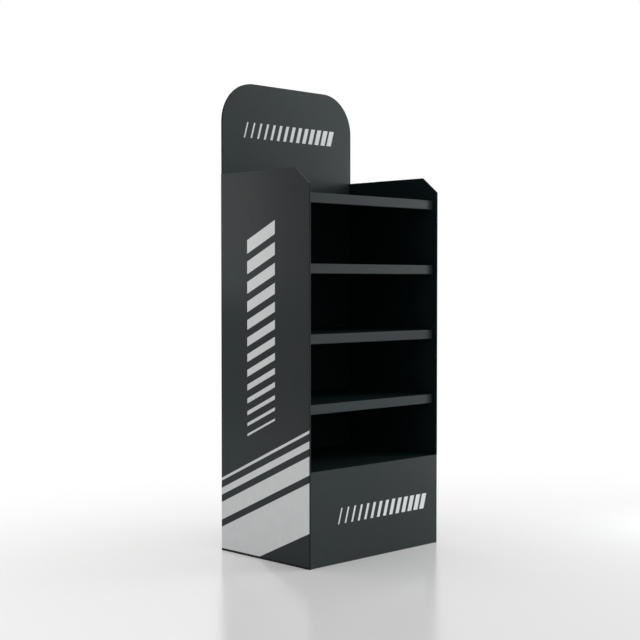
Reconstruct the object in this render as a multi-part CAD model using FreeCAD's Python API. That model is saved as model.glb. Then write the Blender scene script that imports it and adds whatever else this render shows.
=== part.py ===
import FreeCAD, Part
import math
import os

# Free-standing cardboard display stand with four shelf trays, a base and a header.
# Millimetres, +Z up. The origin is on the floor, under the middle of the footprint.
# The open front faces -Y and the header stands at the back.

V = FreeCAD.Vector

# Overall sizes
stand_width = 580.0
stand_depth = 400.0
wall_height = 1190.0
front_edge_height = 1140.0
clipped_corner_depth = 61.5
base_height = 288.0
header_height = 1485.0
header_corner_radius = 130.0
header_inset = 1.0

# Corrugated board and its folds
board = 3.0
ply_gap = 0.4
fold_radius = 2.6
turned_edge_radius = 1.4

# Clearances
seat_gap = 0.3
tray_side_gap = 0.6
slot_gap = 0.5
tongue_gap = 0.1
base_gap = 0.6

# Turned-in side liners and the glue flap
liner_depth = 280.0
liner_end_taper = 12.0
liner_foot_gap = 1.0
glue_flap_width = 40.0
glue_flap_taper = 14.0

# Shelf trays
shelf_count = 4
first_shelf_height = 485.5
shelf_pitch = 210.0
lip_height = 30.0
lip_setback = 17.0
lip_channel_depth = 21.0
flange_height = 30.0
flange_corner_gap = 1.5
flange_taper = 6.0

# Locking tongues of the trays
side_tongue_width = 40.0
side_tongue_places = (-120.0, 35.0)
rear_tongue_width = 50.0
rear_tongue_places = (-150.0, 150.0)
tongue_notch_depth = 7.0
tongue_corner = 2.0

# Steel tube inside each front lip
tube_diameter = 12.0
tube_wall = 1.0

# Header card tongue behind the top tray
header_tongue_depth = 70.0
header_tongue_side_gap = 1.0
header_tongue_corner = 10.0

# Base
bottom_flap_depth = 130.0
bottom_flap_end_relief = 12.0
base_flange_height = 40.0
long_divider_offset = 100.0
cross_divider_pitch = 145.0
divider_slot_gap = 0.4
divider_end_gap = 1.5

# Places worked out from the sizes above
half_width = stand_width / 2.0
half_depth = stand_depth / 2.0
front = -half_depth
outer_ply_inside = half_width - board
liner_inside = outer_ply_inside - ply_gap - board
back_inside = half_depth - board
liner_rear = front + liner_depth
tray_half_width = liner_inside - tray_side_gap
lip_front = front + lip_setback
lip_back = lip_front + lip_channel_depth
glue_flap_outside = -outer_ply_inside + seat_gap
header_back = back_inside - seat_gap
header_front = header_back - board
tongue_reach = half_depth - seat_gap
side_tongue_reach = outer_ply_inside - seat_gap
tube_radius = tube_diameter / 2.0
tube_y = lip_front + lip_channel_depth / 2.0
divider_bottom = board + seat_gap
divider_top = base_height - board - seat_gap
base_half_width = outer_ply_inside - base_gap
base_half_depth = back_inside - base_gap
long_divider_places = {"front": -long_divider_offset, "rear": long_divider_offset}
cross_divider_places = {"left": -cross_divider_pitch, "middle": 0.0, "right": cross_divider_pitch}
shelf_heights = [first_shelf_height + shelf_pitch * i for i in range(shelf_count)]


def box(x0, x1, y0, y1, z0, z1):
    """Box between two corners."""
    return Part.makeBox(x1 - x0, y1 - y0, z1 - z0, V(x0, y0, z0))


def rounded_edges(points, radius):
    """Edges of an open path whose inner corners are arcs, as large as each corner allows."""
    edges = []
    start = points[0]
    for before, corner, after in zip(points, points[1:], points[2:]):
        into = corner - before
        out = after - corner
        half_turn = into.getAngle(out) / 2.0
        room = 0.49 * min(into.Length, out.Length) / math.tan(half_turn)
        r = min(radius, room)
        trim = r * math.tan(half_turn)
        arc_start = corner - V(into).normalize() * trim
        arc_end = corner + V(out).normalize() * trim
        centre_way = (V(out).normalize() - V(into).normalize()).normalize()
        arc_middle = corner + centre_way * (r / math.cos(half_turn) - r)
        edges.append(Part.LineSegment(start, arc_start).toShape())
        edges.append(Part.Arc(arc_start, arc_middle, arc_end).toShape())
        start = arc_end
    edges.append(Part.LineSegment(start, points[-1]).toShape())
    return edges


def inner_points(points, normal):
    """The path one board thickness to the left of points, seen against normal."""
    lefts = []
    for a, b in zip(points, points[1:]):
        lefts.append(normal.cross(b - a).normalize() * board)
    inner = [points[0] + lefts[0]]
    for corner, left_a, left_b in zip(points[1:], lefts, lefts[1:]):
        bisector = left_a + left_b
        inner.append(corner + bisector * (2.0 * board * board / bisector.dot(bisector)))
    inner.append(points[-1] + lefts[-1])
    return inner


def folded_sheet(points, normal, length, radius):
    """Board folded along a path of its outer face and extruded along normal."""
    inner = inner_points(points, normal)
    outside = rounded_edges(points, radius)
    inside = rounded_edges(inner, max(radius - board, 0.1))
    ends = [Part.LineSegment(points[0], inner[0]).toShape()]
    ends.append(Part.LineSegment(points[-1], inner[-1]).toShape())
    wire = Part.Wire(Part.__sortEdges__(outside + inside + ends))
    return Part.Face(wire).extrude(normal * length)


def plate(points, thickness_vector):
    """Flat plate with a polygon outline."""
    face = Part.Face(Part.makePolygon(points + [points[0]]))
    return face.extrude(thickness_vector)


def mirror_x(shape):
    """Copy of a shape on the other side of the stand."""
    return shape.mirror(V(0, 0, 0), V(1, 0, 0))


def save(shape, name):
    """Write one piece as a clean solid."""
    shape.removeSplitter().exportStep("parts/" + name + ".step")


def base_sleeve():
    """Lower part of the wrap: four walls folded round the base, with the glue flap inside."""
    path = [
        V(-half_width, half_depth, 0),
        V(-half_width, front, 0),
        V(half_width, front, 0),
        V(half_width, half_depth, 0),
        V(glue_flap_outside, half_depth, 0),
        V(glue_flap_outside, back_inside - glue_flap_width, 0),
    ]
    return folded_sheet(path, V(0, 0, 1), base_height, fold_radius)


def left_wall():
    """Left wall above the base, its front edge turned in as a liner."""
    path = [
        V(-half_width, half_depth, base_height),
        V(-half_width, front, base_height),
        V(-liner_inside, front, base_height),
        V(-liner_inside, liner_rear, base_height),
    ]
    return folded_sheet(path, V(0, 0, 1), wall_height - base_height, turned_edge_radius)


def right_wall_and_back():
    """Right wall with its liner, the back and the glue flap, all above the base."""
    height = wall_height - base_height
    turned = [
        V(liner_inside, liner_rear, base_height),
        V(liner_inside, front, base_height),
        V(half_width, front, base_height),
        V(half_width, 0, base_height),
    ]
    rear = [
        V(half_width, -board, base_height),
        V(half_width, half_depth, base_height),
        V(glue_flap_outside, half_depth, base_height),
        V(glue_flap_outside, back_inside - glue_flap_width, base_height),
    ]
    edge = folded_sheet(turned, V(0, 0, 1), height, turned_edge_radius)
    return edge.fuse(folded_sheet(rear, V(0, 0, 1), height, fold_radius))


def header_outline(half, bottom, y):
    """Upright face with two rounded top corners."""
    r = header_corner_radius
    slant = r * math.sqrt(0.5)
    left_mid = V(-half + r - slant, y, header_height - r + slant)
    right_mid = V(half - r + slant, y, header_height - r + slant)
    left_side = V(-half, y, header_height - r)
    right_side = V(half, y, header_height - r)
    left_top = V(-half + r, y, header_height)
    right_top = V(half - r, y, header_height)
    edges = [
        Part.LineSegment(V(-half, y, bottom), left_side).toShape(),
        Part.Arc(left_side, left_mid, left_top).toShape(),
        Part.LineSegment(left_top, right_top).toShape(),
        Part.Arc(right_top, right_mid, right_side).toShape(),
        Part.LineSegment(right_side, V(half, y, bottom)).toShape(),
        Part.LineSegment(V(half, y, bottom), V(-half, y, bottom)).toShape(),
    ]
    return Part.Face(Part.Wire(edges))


def clipped_corners():
    """Cutter for the slanted top front corners of both walls."""
    points = [
        V(-stand_width, front, front_edge_height),
        V(-stand_width, front + clipped_corner_depth, wall_height),
        V(-stand_width, front + clipped_corner_depth, wall_height + board),
        V(-stand_width, front - board, wall_height + board),
        V(-stand_width, front - board, front_edge_height),
    ]
    return plate(points, V(2.0 * stand_width, 0, 0))


def liner_end_cutter():
    """Cutter for the slanted rear corners of the left liner."""
    x0 = -outer_ply_inside + ply_gap / 2.0
    x1 = -liner_inside + board
    y = liner_rear
    taper = liner_end_taper
    low = [V(x0, y - taper, base_height), V(x0, y, base_height + taper), V(x0, y, base_height)]
    high = [V(x0, y - taper, wall_height), V(x0, y, wall_height), V(x0, y, wall_height - taper)]
    way = V(x1 - x0, 0, 0)
    return plate(low, way).fuse(plate(high, way))


def liner_foot_cutter():
    """Cutter that frees the left liner's foot from the base front below it."""
    x0 = -outer_ply_inside
    x1 = -liner_inside + board
    high = base_height + liner_foot_gap
    return box(x0, x1, front - board, liner_rear + board, base_height, high)


def glue_flap_cutter():
    """Cutter for the slanted ends of the glue flap."""
    x0 = glue_flap_outside - seat_gap / 2.0
    y = back_inside - glue_flap_width
    taper = glue_flap_taper
    low = [V(x0, y, 0), V(x0, y + glue_flap_width, 0), V(x0, y, taper)]
    top = wall_height
    high = [V(x0, y, top), V(x0, y, top - taper), V(x0, y + glue_flap_width, top)]
    way = V(2.0 * board, 0, 0)
    return plate(low, way).fuse(plate(high, way))


def seam_cutter():
    """Cutter that frees the header's corner from the left wall's end below it."""
    high = wall_height + seat_gap
    return box(-half_width, glue_flap_outside, back_inside, half_depth, wall_height, high)


def bottom_flap(side):
    """Flap folded in under the base at the front (-1) or the back (1)."""
    half = half_width - bottom_flap_end_relief
    path = [
        V(-half, side * half_depth, bottom_flap_end_relief),
        V(-half, side * half_depth, 0),
        V(-half, side * (half_depth - bottom_flap_depth), 0),
    ]
    if side > 0:
        path.reverse()
    return folded_sheet(path, V(1, 0, 0), 2.0 * half, fold_radius)


def bottom_edge_cutter(side):
    """Room for a flap's fold in the bottom edge of the front or back."""
    half = half_width - bottom_flap_end_relief
    y0, y1 = sorted((side * half_depth, side * (half_depth - board)))
    return box(-half, half, y0, y1, 0, bottom_flap_end_relief)


def tongue_slots(height):
    """Cutters for one tray: four slots in the liners, two in the back and two tube holes."""
    low = height - board - tongue_gap
    high = height + tongue_gap
    x0 = -outer_ply_inside + ply_gap / 2.0
    x1 = -liner_inside + board
    half = side_tongue_width / 2.0 + slot_gap
    cutters = []
    for place in side_tongue_places:
        slot = box(x0, x1, place - half, place + half, low, high)
        cutters += [slot, mirror_x(slot)]
    hole_centre = V(x0, tube_y, tube_height(height))
    hole = Part.makeCylinder(tube_radius + seat_gap, x1 - x0, hole_centre, V(1, 0, 0))
    cutters += [hole, mirror_x(hole)]
    half = rear_tongue_width / 2.0 + slot_gap
    for place in rear_tongue_places:
        cutters.append(rear_slot(place, half, low, high))
    return cutters


def rear_slot(place, half, low, high):
    """Slot through the header card and the back for one rear tongue."""
    return box(place - half, place + half, header_front - board, half_depth + board, low, high)


def tube_height(height):
    """Height of a tube's axis, with the tube lying on the floor of the lip's channel."""
    return height - lip_height + board + seat_gap + tube_radius


def body_wrap():
    """The outer sleeve, one folded sheet."""
    wrap = base_sleeve()
    for side in (-1, 1):
        wrap = wrap.cut(bottom_edge_cutter(side)).fuse(bottom_flap(side))
    wrap = wrap.fuse(left_wall()).fuse(right_wall_and_back())
    extension = header_outline(half_width - header_inset, wall_height - board, back_inside)
    extension = extension.extrude(V(0, board, 0))
    below = box(-half_width, half_width, back_inside, half_depth, 0, wall_height)
    wrap = wrap.fuse(extension.cut(below))
    cutters = [clipped_corners(), glue_flap_cutter(), seam_cutter()]
    for cutter in (liner_end_cutter(), liner_foot_cutter()):
        cutters += [cutter, mirror_x(cutter)]
    for height in shelf_heights:
        cutters += tongue_slots(height)
    return wrap.cut(cutters)


def header_card():
    """Header card, its shoulders on the walls and its tongue behind the top tray."""
    shoulder = wall_height + seat_gap
    face = header_outline(half_width - header_inset, shoulder, header_front)
    card = face.extrude(V(0, board, 0))
    half = -glue_flap_outside - board - header_tongue_side_gap
    foot = shelf_heights[-1] - header_tongue_depth
    corner = header_tongue_corner
    points = [
        V(-half, header_front, shoulder),
        V(half, header_front, shoulder),
        V(half, header_front, foot + corner),
        V(half - corner, header_front, foot),
        V(corner - half, header_front, foot),
        V(-half, header_front, foot + corner),
    ]
    card = card.fuse(plate(points, V(0, board, 0)))
    low = shelf_heights[-1] - board - tongue_gap
    high = shelf_heights[-1] + tongue_gap
    slot_half = rear_tongue_width / 2.0 + slot_gap
    return card.cut([rear_slot(place, slot_half, low, high) for place in rear_tongue_places])


def end_tapers(near, far, top, drop, through):
    """Cutters for the slanted ends of a hanging flange, whose fold runs from near to far."""
    inward = V(far - near).normalize() * flange_taper
    start = V(0, 0, top - 2.0 * fold_radius)
    end = V(0, 0, top - drop)
    cutters = []
    for corner, way in ((near, inward), (far, -inward)):
        cutters.append(plate([corner + start, corner + end + way, corner + end], through))
    return cutters


def side_flanges(half, y0, y1, top, drop):
    """Deck and its two side flanges, folded across the tray."""
    path = [V(-half, y0, top - drop), V(-half, y0, top), V(half, y0, top), V(half, y0, top - drop)]
    sheet = folded_sheet(path, V(0, 1, 0), y1 - y0, fold_radius)
    return sheet.cut(end_tapers(V(-half, y0, 0), V(-half, y1, 0), top, drop, V(2.0 * half, 0, 0)))


def rear_flange(half, y1, top, drop, deck_run):
    """Rear fold of a tray: a strip of deck and the flange hanging from it."""
    path = [V(-half, y1, top - drop), V(-half, y1, top), V(-half, y1 - deck_run, top)]
    sheet = folded_sheet(path, V(1, 0, 0), 2.0 * half, fold_radius)
    return sheet.cut(end_tapers(V(-half, y1, 0), V(half, y1, 0), top, drop, V(0, -deck_run, 0)))


def tongue(root, way, length, width):
    """Flat tongue with clipped tip corners, from the middle of its root's lower edge."""
    across = V(0, 0, 1).cross(way) * (width / 2.0)
    clip = V(across).normalize() * tongue_corner
    tip = root + way * length
    shoulder = tip - way * tongue_corner
    points = [
        root - across,
        shoulder - across,
        tip - across + clip,
        tip + across - clip,
        shoulder + across,
        root + across,
    ]
    return plate(points, V(0, 0, board))


def rolled_lip(top):
    """Front of a tray: deck edge, lip, channel floor and the inner return."""
    path = [
        V(-tray_half_width, lip_back + board, top),
        V(-tray_half_width, lip_front, top),
        V(-tray_half_width, lip_front, top - lip_height),
        V(-tray_half_width, lip_back, top - lip_height),
        V(-tray_half_width, lip_back, top - board - seat_gap),
    ]
    return folded_sheet(path, V(1, 0, 0), 2.0 * tray_half_width, fold_radius)


def shelf_tray(top, rear):
    """One shelf: deck with a rolled front lip, three flanges and six locking tongues."""
    flange_start = lip_back + flange_corner_gap
    flange_end = rear - board - flange_corner_gap
    inner_half = tray_half_width - board - flange_corner_gap
    tray = rolled_lip(top)
    tray = tray.fuse(side_flanges(tray_half_width, flange_start, flange_end, top, flange_height))
    deck_run = rear - flange_end + board
    tray = tray.fuse(rear_flange(inner_half, rear, top, flange_height, deck_run))
    notch_low = top - board - tongue_notch_depth
    for place in side_tongue_places:
        half = side_tongue_width / 2.0
        y0 = place - half
        y1 = place + half
        x0 = tray_half_width - board
        notch = box(x0, half_width, y0 - slot_gap, y1 + slot_gap, notch_low, top)
        root = V(x0 - board, place, top - board)
        side = tongue(root, V(1, 0, 0), side_tongue_reach - root.x, side_tongue_width)
        tray = tray.cut([notch, mirror_x(notch)]).fuse([side, mirror_x(side)])
    for place in rear_tongue_places:
        half = rear_tongue_width / 2.0
        x0 = place - half
        x1 = place + half
        notch = box(x0 - slot_gap, x1 + slot_gap, rear - board, half_depth, notch_low, top)
        root = V(place, rear - 2.0 * board, top - board)
        tray = tray.cut(notch).fuse(tongue(root, V(0, 1, 0), tongue_reach - root.y, rear_tongue_width))
    return tray


def lip_tube(top):
    """Steel tube in the lip's channel, its ends in the holes of the liners."""
    reach = outer_ply_inside - seat_gap
    start = V(-reach, tube_y, tube_height(top))
    outside = Part.makeCylinder(tube_radius, 2.0 * reach, start, V(1, 0, 0))
    return outside.cut(Part.makeCylinder(tube_radius - tube_wall, 2.0 * reach, start, V(1, 0, 0)))


def base_deck():
    """Lowest deck on the dividers, level with the top of the base front."""
    top = base_height
    half = base_half_width
    rear = base_half_depth
    notch_start = back_inside - glue_flap_width - base_gap
    narrow = -glue_flap_outside - board - base_gap
    start = -base_half_depth + board + flange_corner_gap
    deck = side_flanges(half, start, notch_start, top, base_flange_height)
    inner_half = half - board - flange_corner_gap
    front_path = [
        V(-inner_half, start + board, top),
        V(-inner_half, -base_half_depth, top),
        V(-inner_half, -base_half_depth, top - base_flange_height),
    ]
    deck = deck.fuse(folded_sheet(front_path, V(1, 0, 0), 2.0 * inner_half, fold_radius))
    rear_half = narrow - flange_corner_gap
    deck_run = rear - notch_start + board
    return deck.fuse(rear_flange(rear_half, rear, top, base_flange_height, deck_run))


def long_divider(y):
    """Divider across the base, slotted from its top edge."""
    half = base_half_width - board - divider_end_gap
    middle = (divider_bottom + divider_top) / 2.0
    sheet = box(-half, half, y - board / 2.0, y + board / 2.0, divider_bottom, divider_top)
    slot_half = board / 2.0 + divider_slot_gap
    for x in cross_divider_places.values():
        slot = box(x - slot_half, x + slot_half, y - board, y + board, middle, divider_top + board)
        sheet = sheet.cut(slot)
    return sheet


def cross_divider(x):
    """Divider from front to back of the base, slotted from its bottom edge."""
    half = base_half_depth - board - divider_end_gap
    middle = (divider_bottom + divider_top) / 2.0 + seat_gap
    sheet = box(x - board / 2.0, x + board / 2.0, -half, half, divider_bottom, divider_top)
    slot_half = board / 2.0 + divider_slot_gap
    for y in long_divider_places.values():
        slot = box(x - board, x + board, y - slot_half, y + slot_half, 0, middle)
        sheet = sheet.cut(slot)
    return sheet


def main():
    """Build every piece and write it to its own file."""
    os.makedirs("parts", exist_ok=True)
    save(body_wrap(), "body_wrap")
    save(header_card(), "header_card")
    for number, height in enumerate(shelf_heights, start=1):
        rear = header_front if height == shelf_heights[-1] else back_inside
        save(shelf_tray(height, rear - seat_gap), "shelf_tray_" + str(number))
        save(lip_tube(height), "lip_tube_" + str(number))
    save(base_deck(), "base_deck")
    for name, y in long_divider_places.items():
        save(long_divider(y), "base_divider_" + name)
    for name, x in cross_divider_places.items():
        save(cross_divider(x), "base_divider_" + name)


main()
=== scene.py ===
import math

import bpy
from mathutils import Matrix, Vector


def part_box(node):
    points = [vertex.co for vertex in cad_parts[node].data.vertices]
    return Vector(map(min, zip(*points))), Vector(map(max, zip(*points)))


# Looks of a free-standing cardboard display stand: printed corrugated board, plain board
# inside the base and steel tubes in the shelf lips. Metres, +Z up, the open front faces -Y.

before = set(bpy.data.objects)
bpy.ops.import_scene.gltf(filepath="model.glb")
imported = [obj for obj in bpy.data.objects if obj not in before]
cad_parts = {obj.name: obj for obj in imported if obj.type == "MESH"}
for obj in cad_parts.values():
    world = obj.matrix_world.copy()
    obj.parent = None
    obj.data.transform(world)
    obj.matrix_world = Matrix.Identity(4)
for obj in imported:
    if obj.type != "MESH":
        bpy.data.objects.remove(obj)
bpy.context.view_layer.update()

# Camera, solved from the corners of the stand in the photograph
CAMERA_PLACE = (-2.89743, -2.89302, 0.85010)
CAMERA_AZIMUTH = -44.550
CAMERA_DOWN = 1.697
CAMERA_LENS = 71.855
SENSOR_WIDTH = 36.0

# Places on the stand, from the frame
wrap_low, wrap_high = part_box("body_wrap")
LEFT = wrap_low.x
RIGHT = wrap_high.x
FRONT = wrap_low.y
REAR = wrap_high.y
BASE_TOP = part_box("base_deck")[1].z
LIP_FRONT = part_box("shelf_tray_1")[0].y
TOP_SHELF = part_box("shelf_tray_4")[1].z
CARD_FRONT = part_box("header_card")[0].y

# Sizes of the board and its folds
WALL_TOP = 1.190
BOARD = 0.003
FOLD = 0.0027
LINER_INSIDE = 0.2836
FLUTE_PITCH = 0.0062
LIP_FOLD = 0.0013
TOUCH = 0.0004
# Height of the painted contact shadow along the left wall's foot, where the print also stops
FOOT_LINE = 0.0070

# Colours, as linear light
CHARCOAL = (0.0215, 0.0275, 0.0295)
CHARCOAL_WARM = (0.0235, 0.0270, 0.0285)
INSIDE_BLACK = (0.0048, 0.0098, 0.0104)
PRINT_GREY = (0.640, 0.650, 0.655)
# Painted shade in the hollow flutes of cut board edges
FLUTE_HOLLOW_SHADE = (0.020, 0.019, 0.018)
KRAFT = (0.365, 0.235, 0.130)
KRAFT_DARK = (0.215, 0.130, 0.068)
STEEL = (0.560, 0.570, 0.580)

# Gloss and relief of the print
CHARCOAL_ROUGHNESS = 0.33
BLACK_ROUGHNESS = 0.80
ROUGHNESS_DRIFT = 0.03
PRINT_SPECULAR = 0.10
BLACK_SHINE = (0.2, 0.2, 0.2)
FULL_SHINE = (1.0, 1.0, 1.0)
PRINT_RELIEF = 0.00012

# Gloss and relief of the plain board and the steel
KRAFT_SPECULAR = 0.25
KRAFT_RELIEF = 0.00015
STEEL_SPECULAR = 0.5
STEEL_RELIEF = 0.00003

# Painted shade at a crease, a strip and cut edges, and a painted contact shadow at the foot, as
# factors on the ink where 1 leaves it as it is
PAINTED_CREASE_SHADE = 0.40
PAINTED_STRIP_SHADE = 0.28
PAINTED_EDGE_SHADE = 0.70
PAINTED_FOOT_SHADOW = 0.20

# Least part of a face's normal that counts as facing a way
PARTLY = 0.3
EDGE_WAY = 0.4
HALFWAY = 0.5
MOSTLY = 0.7

# The range of a soft noise that is spread over its effect
NOISE_RANGE = (0.3, 0.7)

# Plies inside the board, as shares of its thickness
PLY_SWING = 0.33
PLY_HALF = 0.09
CORE_HALF = 0.40

# Slanted bands low on the left wall, and a column of slanted bars above them
PRINT_SLOPE = 0.46
# The print stops at the foot line, so the dark line along the foot is charcoal print darkened by a
# painted contact shadow.
PRINT_MARGIN = FOOT_LINE
BAND_START = 0.108
BAND_WIDTHS = (0.150, 0.056, 0.022, 0.009)
BAND_GAP = 0.023
BAR_START = 0.500
BAR_COUNT = 13
BAR_THIN = 0.007
BAR_THICK = 0.042
BAR_GAP = 0.024
COLUMN_START = 0.150
COLUMN_END = 0.276

# Rows of upright bars on the header and on the base front
ROW_WIDTH = 0.40
ROW_COUNT = 14
ROW_SLANT = 0.30
ROW_THIN = 0.18
ROW_THICK = 0.73
HEADER_ROW = (0.0, 1.312, 1.362)
BASE_ROW = (0.03, 0.120, 0.168)

# Surroundings
FLOOR_SIDES = 96
WORLD_STRENGTH = 0.79
WORLD_COLOUR = (0.985, 0.995, 1.0)
FLOOR_RADIUS = 14.0
COOL = (0.91, 0.99, 1.0)
NEUTRAL = (1.0, 1.0, 1.0)
WARM = (1.0, 0.97, 0.95)
FLOOR_COLOUR = (0.748, 0.735, 0.727)
FLOOR_ROUGHNESS = 0.20
FLOOR_SPECULAR = 0.42
FADE_CENTRE = (-0.2, -0.9)
FLOOR_FADE = (0.6, 2.6, 0.12, 1.0)

# Lights: name, place, target, size, power in watts and colour
LIGHTS = (
    ("right", (2.71, -1.70, 1.25), (0.0, 0.0, 0.8), (0.9, 0.9), 16.5, COOL),
    ("right_high", (2.50, -2.00, 2.3), (0.0, 0.0, 0.8), (1.3, 0.9), 17.0, COOL),
    ("right_low", (1.75, -2.68, 0.45), (0.0, 0.0, 0.8), (1.0, 0.9), 10.5, COOL),
    ("base_right", (1.25, -0.75, 0.22), (0.29, -0.2, 0.10), (0.25, 0.4), 1.6, COOL),
    ("front", (-0.6, -3.6, 1.2), (0.0, 0.0, 0.8), (2.0, 2.0), 5.0, NEUTRAL),
    ("rear_high", (-0.55, 0.42, 1.04), (-0.29, 0.15, 1.03), (0.2, 0.5), 0.52, WARM),
    ("rear_low", (-1.15, 0.95, 0.12), (-0.29, 0.0, 0.05), (0.5, 0.2), 0.5, NEUTRAL),
    ("back", (1.2, 3.4, 2.0), (0.0, 0.0, 0.8), (2.4, 2.0), 8.0, NEUTRAL),
)


class Field:
    """A value that varies over a surface. Python's operators add the shader nodes."""

    def __init__(self, tree, socket):
        self.tree = tree
        self.socket = socket

    def math(self, operation, *others):
        node = self.tree.nodes.new("ShaderNodeMath")
        node.operation = operation
        for place, value in enumerate((self,) + others):
            if isinstance(value, Field):
                self.tree.links.new(value.socket, node.inputs[place])
            else:
                node.inputs[place].default_value = value
        return Field(self.tree, node.outputs[0])

    def __add__(self, other):
        return self.math("ADD", other)

    def __sub__(self, other):
        return self.math("SUBTRACT", other)

    def __mul__(self, other):
        return self.math("MULTIPLY", other)

    def __gt__(self, other):
        return self.math("GREATER_THAN", other)

    def __lt__(self, other):
        return self.math("LESS_THAN", other)

    def __or__(self, other):
        return self.math("MAXIMUM", other)

    def __and__(self, other):
        return self.math("MINIMUM", other)

    def __abs__(self):
        return self.math("ABSOLUTE")

    def between(self, low, high):
        """1 where the value lies between two limits."""
        return (self > low) & (self < high)

    def wave(self, pitch):
        """Sine of the value, with one full wave in each pitch."""
        return (self * (2.0 * math.pi / pitch)).math("SINE")

    def ramp(self, start, end, low=0.0, high=1.0):
        """Smooth step from low at start to high at end."""
        node = self.tree.nodes.new("ShaderNodeMapRange")
        node.interpolation_type = "SMOOTHSTEP"
        self.tree.links.new(self.socket, node.inputs["Value"])
        node.inputs["From Min"].default_value = start
        node.inputs["From Max"].default_value = end
        node.inputs["To Min"].default_value = low
        node.inputs["To Max"].default_value = high
        return Field(self.tree, node.outputs["Result"])

    def vary(self, low, high):
        """A soft noise spread between two values."""
        return self.ramp(*NOISE_RANGE, low, high)

    def dim(self, tone):
        """1 where a mask is 0 and the given tone where it is 1."""
        return self.ramp(0.0, 1.0, 1.0, tone)


class Surface:
    """A material with its place, normal and noise as fields."""

    def __init__(self, name):
        self.material = bpy.data.materials.new(name)
        self.material.use_nodes = True
        self.tree = self.material.node_tree
        self.shader = self.tree.nodes["Principled BSDF"]
        self.coordinates = self.tree.nodes.new("ShaderNodeTexCoord")
        self.x, self.y, self.z = self.split(self.coordinates.outputs["Object"])
        self.nx, self.ny, self.nz = self.split(self.coordinates.outputs["Normal"])

    def split(self, socket):
        node = self.tree.nodes.new("ShaderNodeSeparateXYZ")
        self.tree.links.new(socket, node.inputs[0])
        return [Field(self.tree, output) for output in node.outputs]

    def noise(self, scale, detail=2.0, stretch=(1.0, 1.0, 1.0)):
        """Soft noise between 0 and 1, about 0.5 on average."""
        mapping = self.tree.nodes.new("ShaderNodeMapping")
        mapping.inputs["Scale"].default_value = stretch
        self.tree.links.new(self.coordinates.outputs["Object"], mapping.inputs["Vector"])
        node = self.tree.nodes.new("ShaderNodeTexNoise")
        node.inputs["Scale"].default_value = scale
        node.inputs["Detail"].default_value = detail
        self.tree.links.new(mapping.outputs["Vector"], node.inputs["Vector"])
        return Field(self.tree, node.outputs["Fac"])

    def colour(self, value):
        """A plain colour as a socket."""
        node = self.tree.nodes.new("ShaderNodeRGB")
        node.outputs[0].default_value = (*value, 1.0)
        return node.outputs[0]

    def mix(self, mask, below, above):
        """Colour below where the mask is 0 and above where it is 1."""
        node = self.tree.nodes.new("ShaderNodeMix")
        node.data_type = "RGBA"
        self.tree.links.new(mask.socket, node.inputs["Factor"])
        for name, value in (("A", below), ("B", above)):
            socket = [s for s in node.inputs if s.name == name and s.type == "RGBA"][0]
            if isinstance(value, tuple):
                socket.default_value = (*value, 1.0)
            else:
                self.tree.links.new(value, socket)
        return [s for s in node.outputs if s.type == "RGBA"][0]

    def tone(self, colour, amount):
        """The colour made lighter or darker by a field around 1."""
        node = self.tree.nodes.new("ShaderNodeVectorMath")
        node.operation = "SCALE"
        self.tree.links.new(colour, node.inputs[0])
        self.tree.links.new(amount.socket, node.inputs["Scale"])
        return node.outputs[0]

    def finish(self, colour, roughness, height, depth, specular):
        """Connect the fields to the shader."""
        self.tree.links.new(colour, self.shader.inputs["Base Color"])
        self.tree.links.new(roughness.socket, self.shader.inputs["Roughness"])
        self.shader.inputs["Specular IOR Level"].default_value = specular
        bump = self.tree.nodes.new("ShaderNodeBump")
        bump.inputs["Distance"].default_value = depth
        bump.inputs["Strength"].default_value = 1.0
        self.tree.links.new(height.socket, bump.inputs["Height"])
        self.tree.links.new(bump.outputs["Normal"], self.shader.inputs["Normal"])
        return self.material


def any_of(masks):
    """1 where at least one of the masks is 1."""
    joined = masks[0]
    for mask in masks[1:]:
        joined = joined | mask
    return joined


def flute_gaps(across, middle, along):
    """Where the hollow flutes beside the wavy middle ply lie on a cut edge of the board, for
    painted shade.
    """
    ply = along.wave(FLUTE_PITCH) * (PLY_SWING * BOARD)
    from_ply = abs(across - middle - ply)
    return (from_ply > PLY_HALF * BOARD) & (abs(across - middle) < CORE_HALF * BOARD)


def paper(surface, along):
    """Fine tooth of the paper, with the faint ribs of the flutes behind it."""
    tooth = surface.noise(900.0, 3.0)
    swell = surface.noise(9.0, 1.0)
    return tooth * 0.35 + along.wave(FLUTE_PITCH) * 0.10 + swell * 1.2


def wall_print(surface):
    """Pale shapes on the outside of the left wall: slanted bands below, and bars up the side."""
    across = surface.y - FRONT
    rise = surface.z + across * PRINT_SLOPE
    bands = []
    bottom = BAND_START
    for width in BAND_WIDTHS:
        bands.append(rise.between(bottom, bottom + width))
        bottom += width + BAND_GAP
    bars = []
    bottom = BAR_START
    for number in range(BAR_COUNT):
        thickness = BAR_THIN + (BAR_THICK - BAR_THIN) * number / (BAR_COUNT - 1)
        bars.append(rise.between(bottom, bottom + thickness))
        bottom += thickness + BAR_GAP
    column = any_of(bars) & across.between(COLUMN_START, COLUMN_END)
    on_wall = (surface.nx < -MOSTLY) & (surface.x < LEFT + 0.5 * BOARD) & (surface.z > PRINT_MARGIN)
    return any_of(bands) & on_wall, column & on_wall


def row_of_bars(surface, row):
    """A row of upright slanted bars that grow wider to the right."""
    centre, low, high = row
    slanted = surface.x - (surface.z - low) * ROW_SLANT
    pitch = ROW_WIDTH / ROW_COUNT
    bars = []
    for number in range(ROW_COUNT):
        share = ROW_THIN + (ROW_THICK - ROW_THIN) * number / (ROW_COUNT - 1)
        start = centre - ROW_WIDTH / 2.0 + number * pitch
        bars.append(slanted.between(start, start + pitch * share))
    return any_of(bars) & surface.z.between(low, high) & (surface.ny < -MOSTLY)


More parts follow.
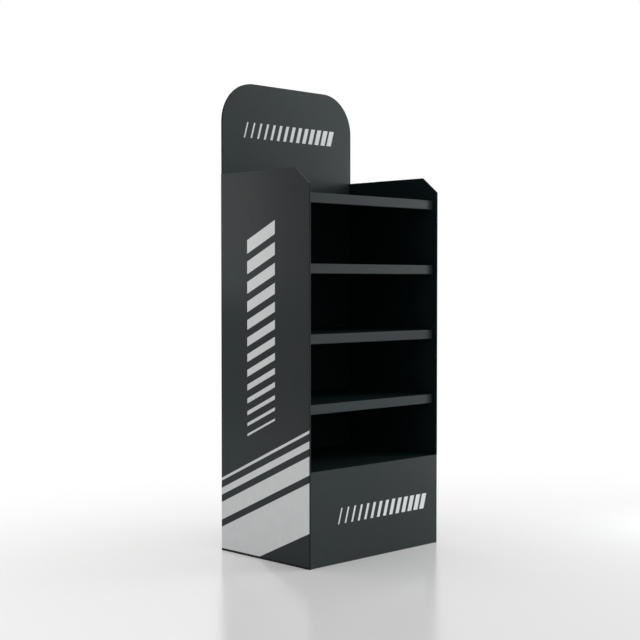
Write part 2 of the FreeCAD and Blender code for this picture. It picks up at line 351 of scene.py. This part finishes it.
def charcoal(surface):
    """The printed charcoal, which drifts a little between a cooler and a warmer tone."""
    drift = surface.noise(3.0, 2.0)
    return surface.mix(drift.ramp(0.35, 0.65), CHARCOAL, CHARCOAL_WARM)


def mottled(surface, colour):
    """Slight unevenness of ink on board."""
    cloud = surface.noise(24.0, 3.0)
    speckle = surface.noise(1400.0, 2.0)
    amount = cloud.vary(0.98, 1.02) * speckle.vary(0.97, 1.03)
    return surface.tone(colour, amount)


def print_roughness(surface, charcoal_mask):
    """The inside black is flatter than the charcoal."""
    cloud = surface.noise(38.0, 2.0)
    base = charcoal_mask.ramp(0.0, 1.0, BLACK_ROUGHNESS, CHARCOAL_ROUGHNESS)
    return base + cloud.vary(-ROUGHNESS_DRIFT, ROUGHNESS_DRIFT)


def printed(surface, colour, charcoal_mask, along):
    """Finish a printed surface. The flutes run across the given way."""
    roughness = print_roughness(surface, charcoal_mask)
    shine = surface.mix(charcoal_mask, BLACK_SHINE, FULL_SHINE)
    surface.tree.links.new(shine, surface.shader.inputs["Specular Tint"])
    colour = mottled(surface, colour)
    return surface.finish(colour, roughness, paper(surface, along), PRINT_RELIEF, PRINT_SPECULAR)


def wrap_material():
    """The outer sleeve."""
    s = Surface("printed_board_wrap")
    above_base = s.z > BASE_TOP + TOUCH
    left_side = (s.x < LEFT + FOLD) & (s.nx < -PARTLY)
    right_side = (s.x > RIGHT - FOLD) & (s.nx > PARTLY)
    rear_side = (s.y > REAR - FOLD) & (s.ny > PARTLY)
    faces_front = (s.y < FRONT + FOLD) & (s.ny < -PARTLY)
    base_front = faces_front & (s.z < BASE_TOP + TOUCH)
    # The strip at the left of the front edges above the base: charcoal print, darkened further
    # below by painted shade.
    left_strip = faces_front & above_base & (s.x < TOUCH - LINER_INSIDE)
    # The left wall's upward-facing edges: charcoal print, darkened further below by painted shade.
    left_edges = (s.x < -LINER_INSIDE) & (s.nz > EDGE_WAY) & above_base
    outside = any_of([left_side, right_side, rear_side, base_front, left_strip, left_edges])
    colour = s.mix(outside, INSIDE_BLACK, charcoal(s))
    bands, column = wall_print(s)
    colour = s.mix(bands | column, colour, PRINT_GREY)
    colour = s.mix(row_of_bars(s, BASE_ROW) & base_front, colour, PRINT_GREY)
    # Painted shade in the hollow flutes on the cut edges of the board.
    from_centre = abs(s.x)
    outer_gaps = flute_gaps(from_centre, RIGHT - 0.5 * BOARD, s.y)
    inner_gaps = flute_gaps(from_centre, LINER_INSIDE + 0.5 * BOARD, s.y)
    header_gaps = flute_gaps(s.y, REAR - 0.5 * BOARD, s.x) & (s.z > WALL_TOP + BOARD)
    cut_edges = (abs(s.nz) > EDGE_WAY) & above_base
    colour = s.mix(any_of([outer_gaps, inner_gaps, header_gaps]) & cut_edges, colour, FLUTE_HOLLOW_SHADE)
    # Painted shade: the front-facing part of the base's left corner fold is darkened.
    painted_crease_shade = (s.x < LEFT + 2.0 * BOARD) & (s.ny < -HALFWAY) & (s.z < BASE_TOP)
    # Painted contact shadow: the left wall's foot is darkened where the stand meets the floor.
    painted_foot_shadow = left_side & (s.z < FOOT_LINE)
    # The painted shade of the crease, the strip and the upward edges, and the painted foot shadow,
    # multiply the ink.
    shaded = painted_crease_shade.dim(PAINTED_CREASE_SHADE) * left_strip.dim(PAINTED_STRIP_SHADE)
    shaded = shaded * left_edges.dim(PAINTED_EDGE_SHADE) * painted_foot_shadow.dim(PAINTED_FOOT_SHADOW)
    colour = s.tone(colour, shaded)
    return printed(s, colour, outside, s.x + s.y)


def card_material():
    """The header card."""
    s = Surface("printed_board_card")
    shown = (s.ny < -HALFWAY) & (s.z > TOP_SHELF)
    colour = s.mix(shown, INSIDE_BLACK, charcoal(s))
    colour = s.mix(row_of_bars(s, HEADER_ROW), colour, PRINT_GREY)
    # Painted shade in the hollow flutes on the card's cut edges.
    gaps = flute_gaps(s.y, CARD_FRONT + 0.5 * BOARD, s.x) & (abs(s.ny) < HALFWAY)
    colour = s.mix(gaps, colour, FLUTE_HOLLOW_SHADE)
    return printed(s, colour, shown, s.x)


def tray_material():
    """Shelf trays: a charcoal lip and a black deck."""
    s = Surface("printed_board_tray")
    lip = (s.y < LIP_FRONT + LIP_FOLD) & (s.ny < HALFWAY)
    colour = s.mix(lip, INSIDE_BLACK, charcoal(s))
    return printed(s, colour, lip, s.x)


def deck_material():
    """The base deck, black all over."""
    s = Surface("printed_board_deck")
    cloud = s.noise(38.0, 2.0)
    roughness = cloud.vary(BLACK_ROUGHNESS - ROUGHNESS_DRIFT, BLACK_ROUGHNESS + ROUGHNESS_DRIFT)
    colour = mottled(s, s.colour(INSIDE_BLACK))
    s.shader.inputs["Specular Tint"].default_value = (*BLACK_SHINE, 1.0)
    return s.finish(colour, roughness, paper(s, s.x), PRINT_RELIEF, PRINT_SPECULAR)


def divider_material():
    """Plain brown board with its flutes showing through as faint lines, and painted shade in the
    hollow flutes on its cut edges.
    """
    s = Surface("plain_board")
    fibres = s.noise(420.0, 4.0, (1.0, 1.0, 0.25))
    cloud = s.noise(14.0, 3.0)
    colour = s.mix(fibres.ramp(0.42, 0.68), KRAFT, KRAFT_DARK)
    ribs = (s.x + s.y).wave(FLUTE_PITCH)
    # Painted shade: dark bands at the flute pitch on the cut edges stand for the hollow flutes.
    cut_edges = (abs(ribs) < 0.55) & (abs(s.nz) > HALFWAY)
    colour = s.mix(cut_edges, colour, KRAFT_DARK)
    colour = s.tone(colour, cloud.vary(0.94, 1.05))
    roughness = fibres.vary(0.86, 0.94)
    return s.finish(colour, roughness, fibres + ribs * 0.25, KRAFT_RELIEF, KRAFT_SPECULAR)


def steel_material():
    """Drawn steel tube with fine lines along it."""
    s = Surface("tube_steel")
    s.shader.inputs["Metallic"].default_value = 1.0
    lines = s.noise(700.0, 3.0, (0.02, 1.0, 1.0))
    cloud = s.noise(20.0, 2.0)
    colour = s.tone(s.colour(STEEL), lines.vary(0.90, 1.05))
    roughness = lines.vary(0.28, 0.38) + cloud.vary(-0.02, 0.03)
    return s.finish(colour, roughness, lines, STEEL_RELIEF, STEEL_SPECULAR)


def assign(material, start):
    """Put one material on every slot of the nodes whose names start this way."""
    for name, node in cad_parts.items():
        if not name.startswith(start):
            continue
        mesh = node.data
        if not mesh.materials:
            mesh.materials.append(material)
        for place in range(len(mesh.materials)):
            mesh.materials[place] = material


def add_camera():
    data = bpy.data.cameras.new("camera")
    data.lens = CAMERA_LENS
    data.sensor_width = SENSOR_WIDTH
    data.sensor_fit = "HORIZONTAL"
    data.clip_end = 100.0
    holder = bpy.data.objects.new("camera", data)
    bpy.context.scene.collection.objects.link(holder)
    holder.location = CAMERA_PLACE
    holder.rotation_euler = (math.radians(90.0 - CAMERA_DOWN), 0.0, math.radians(CAMERA_AZIMUTH))
    bpy.context.scene.camera = holder


def seen_white(tree, shader, kind):
    """White for camera, glossy and transmission rays, the given shader for the others."""
    rays = tree.nodes.new("ShaderNodeLightPath")
    kinds = ("Is Camera Ray", "Is Glossy Ray", "Is Transmission Ray")
    seen = [Field(tree, rays.outputs[name]) for name in kinds]
    glow = tree.nodes.new(kind)
    glow.inputs["Color"].default_value = (1.0, 1.0, 1.0, 1.0)
    glow.inputs["Strength"].default_value = 1.0
    mixer = tree.nodes.new("ShaderNodeMixShader")
    tree.links.new(any_of(seen).socket, mixer.inputs[0])
    tree.links.new(shader.outputs[0], mixer.inputs[1])
    tree.links.new(glow.outputs[0], mixer.inputs[2])
    return mixer


def add_world():
    """Soft pale light from all around, seen as plain white."""
    surroundings = bpy.data.worlds.new("studio")
    bpy.context.scene.world = surroundings
    surroundings.use_nodes = True
    tree = surroundings.node_tree
    light = tree.nodes["Background"]
    light.inputs["Color"].default_value = (*WORLD_COLOUR, 1.0)
    light.inputs["Strength"].default_value = WORLD_STRENGTH
    mixer = seen_white(tree, light, "ShaderNodeBackground")
    tree.links.new(mixer.outputs[0], tree.nodes["World Output"].inputs["Surface"])


def add_light(name, place, target, size, power, colour):
    """A soft rectangular light, hidden from the camera."""
    data = bpy.data.lights.new(name, "AREA")
    data.shape = "RECTANGLE"
    data.size, data.size_y = size
    data.energy = power
    data.color = colour
    holder = bpy.data.objects.new(name, data)
    bpy.context.scene.collection.objects.link(holder)
    holder.location = place
    holder.rotation_euler = (Vector(target) - Vector(place)).to_track_quat("-Z", "Y").to_euler()
    holder.visible_camera = False


def add_floor():
    """Round pale floor that fades to white away from the stand."""
    bpy.ops.mesh.primitive_circle_add(vertices=FLOOR_SIDES, radius=FLOOR_RADIUS, fill_type="NGON")
    ground = bpy.context.object
    ground.name = "studio_floor"
    s = Surface("studio_floor")
    s.shader.inputs["Base Color"].default_value = (*FLOOR_COLOUR, 1.0)
    s.shader.inputs["Roughness"].default_value = FLOOR_ROUGHNESS
    s.shader.inputs["Specular IOR Level"].default_value = FLOOR_SPECULAR
    x = s.x - FADE_CENTRE[0]
    y = s.y - FADE_CENTRE[1]
    distance = (x * x + y * y).math("SQRT")
    fade = distance.ramp(*FLOOR_FADE)
    white = seen_white(s.tree, s.shader, "ShaderNodeEmission")
    mixer = s.tree.nodes.new("ShaderNodeMixShader")
    s.tree.links.new(fade.socket, mixer.inputs[0])
    s.tree.links.new(s.shader.outputs[0], mixer.inputs[1])
    s.tree.links.new(white.outputs[0], mixer.inputs[2])
    s.tree.links.new(mixer.outputs[0], s.tree.nodes["Material Output"].inputs["Surface"])
    ground.data.materials.append(s.material)


assign(wrap_material(), "body_wrap")
assign(card_material(), "header_card")
assign(tray_material(), "shelf_tray")
assign(deck_material(), "base_deck")
assign(divider_material(), "base_divider")
assign(steel_material(), "lip_tube")

add_camera()
add_world()
for light in LIGHTS:
    add_light(*light)
add_floor()

bpy.context.scene.view_settings.view_transform = "Standard"
